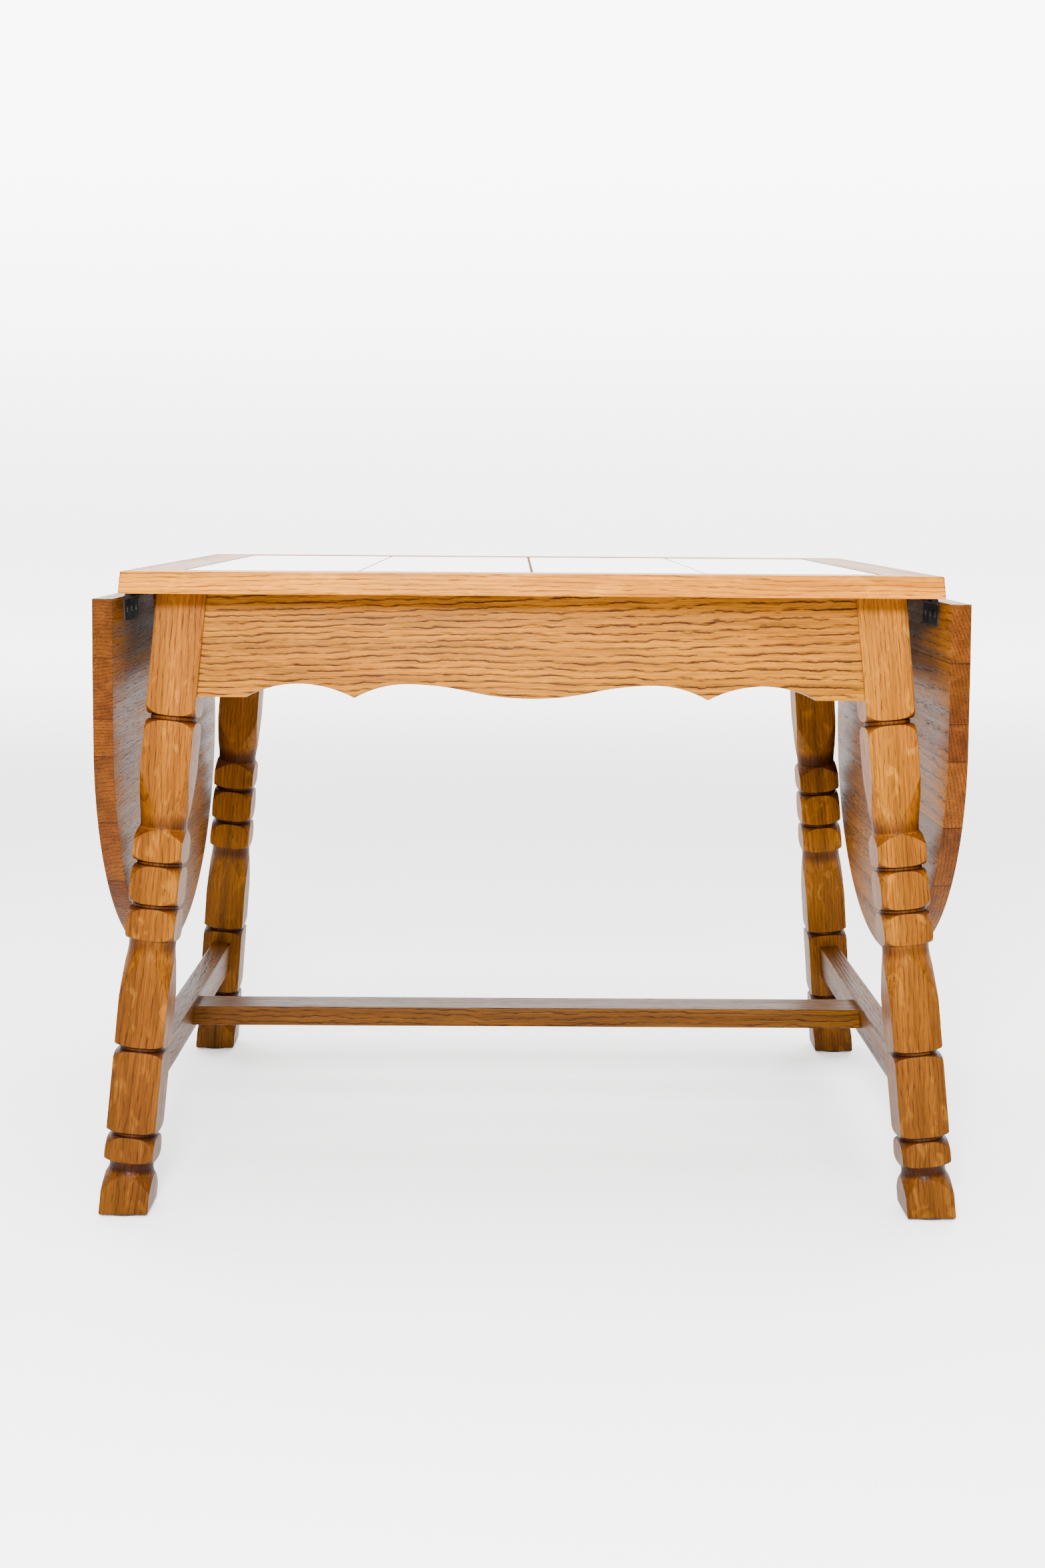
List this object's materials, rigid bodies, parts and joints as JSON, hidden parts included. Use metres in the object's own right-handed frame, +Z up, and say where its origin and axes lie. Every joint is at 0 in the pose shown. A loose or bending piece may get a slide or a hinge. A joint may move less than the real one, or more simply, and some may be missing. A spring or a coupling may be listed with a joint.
{
  "type": "drop leaf table",
  "caption": "Oak dining table with a tiled fixed top, two hinged D-shaped drop leaves that hang down at the sides, splayed turned legs and an H stretcher.",
  "frame": {"origin": "on the floor, under the middle of the top", "axes": "+X along the table towards the right-hand leaf, +Y towards the back, +Z up; both leaves hang down"},
  "size_m": [1.0012, 0.7376, 0.749],
  "materials": {
    "oak": "clear honey-coloured lacquer, satin, open grain",
    "tile": "white glaze, satin gloss",
    "grout": "matte cement grout",
    "bed_board": "bare plywood",
    "steel": "dark, semi-matte",
    "felt": "pressed felt"
  },
  "bodies": {
    "table": {"apron_back": "oak", "apron_front": "oak", "apron_left": "oak", "apron_right": "oak", "corner_block_screws": "steel", "corner_blocks": "oak", "cross_stretcher": "oak", "foot_pads": "felt", "grout": "grout", "hinge_pin_back_left": "steel", "hinge_pin_back_right": "steel", "hinge_pin_front_left": "steel", "hinge_pin_front_right": "steel", "hinge_table_back_left": "steel", "hinge_table_back_right": "steel", "hinge_table_front_left": "steel", "hinge_table_front_right": "steel", "hinge_table_screws": "steel", "leg_back_left": "oak", "leg_back_right": "oak", "leg_front_left": "oak", "leg_front_right": "oak", "loper_guides": "oak", "rail_back": "oak", "rail_front": "oak", "rail_left": "oak", "rail_right": "oak", "stretcher_left": "oak", "stretcher_right": "oak", "tile_bed": "bed_board", "tile_row1_col1": "tile", "tile_row1_col2": "tile", "tile_row1_col3": "tile", "tile_row1_col4": "tile", "tile_row2_col1": "tile", "tile_row2_col2": "tile", "tile_row2_col3": "tile", "tile_row2_col4": "tile", "tile_row3_col1": "tile", "tile_row3_col2": "tile", "tile_row3_col3": "tile", "tile_row3_col4": "tile"},
    "leaf_left": {"hinge_leaf_back_left": "steel", "hinge_leaf_front_left": "steel", "leaf_left": "oak", "leaf_left_screws": "steel"},
    "loper_front_left": {"loper_front_left": "oak", "loper_stop_front_left": "oak"},
    "loper_back_left": {"loper_back_left": "oak", "loper_stop_back_left": "oak"},
    "leaf_right": {"hinge_leaf_back_right": "steel", "hinge_leaf_front_right": "steel", "leaf_right": "oak", "leaf_right_screws": "steel"},
    "loper_front_right": {"loper_front_right": "oak", "loper_stop_front_right": "oak"},
    "loper_back_right": {"loper_back_right": "oak", "loper_stop_back_right": "oak"}
  },
  "joints": [
    {"name": "leaf_left_hinge", "type": "hinge", "parent": "table", "child": "leaf_left", "pos_m": [-0.4651, 0, 0.7187], "axis": [0, 1, 0], "range_deg": [0, 90]},
    {"name": "leaf_right_hinge", "type": "hinge", "parent": "table", "child": "leaf_right", "pos_m": [0.4651, 0, 0.7187], "axis": [0, -1, 0], "range_deg": [0, 90]},
    {"name": "loper_front_left_slide", "type": "slide", "parent": "table", "child": "loper_front_left", "axis": [-1, 0, 0], "range_m": [0, 0.008]},
    {"name": "loper_back_left_slide", "type": "slide", "parent": "table", "child": "loper_back_left", "axis": [-1, 0, 0], "range_m": [0, 0.008]},
    {"name": "loper_front_right_slide", "type": "slide", "parent": "table", "child": "loper_front_right", "axis": [1, 0, 0], "range_m": [0, 0.008]},
    {"name": "loper_back_right_slide", "type": "slide", "parent": "table", "child": "loper_back_right", "axis": [1, 0, 0], "range_m": [0, 0.008]}
  ]
}
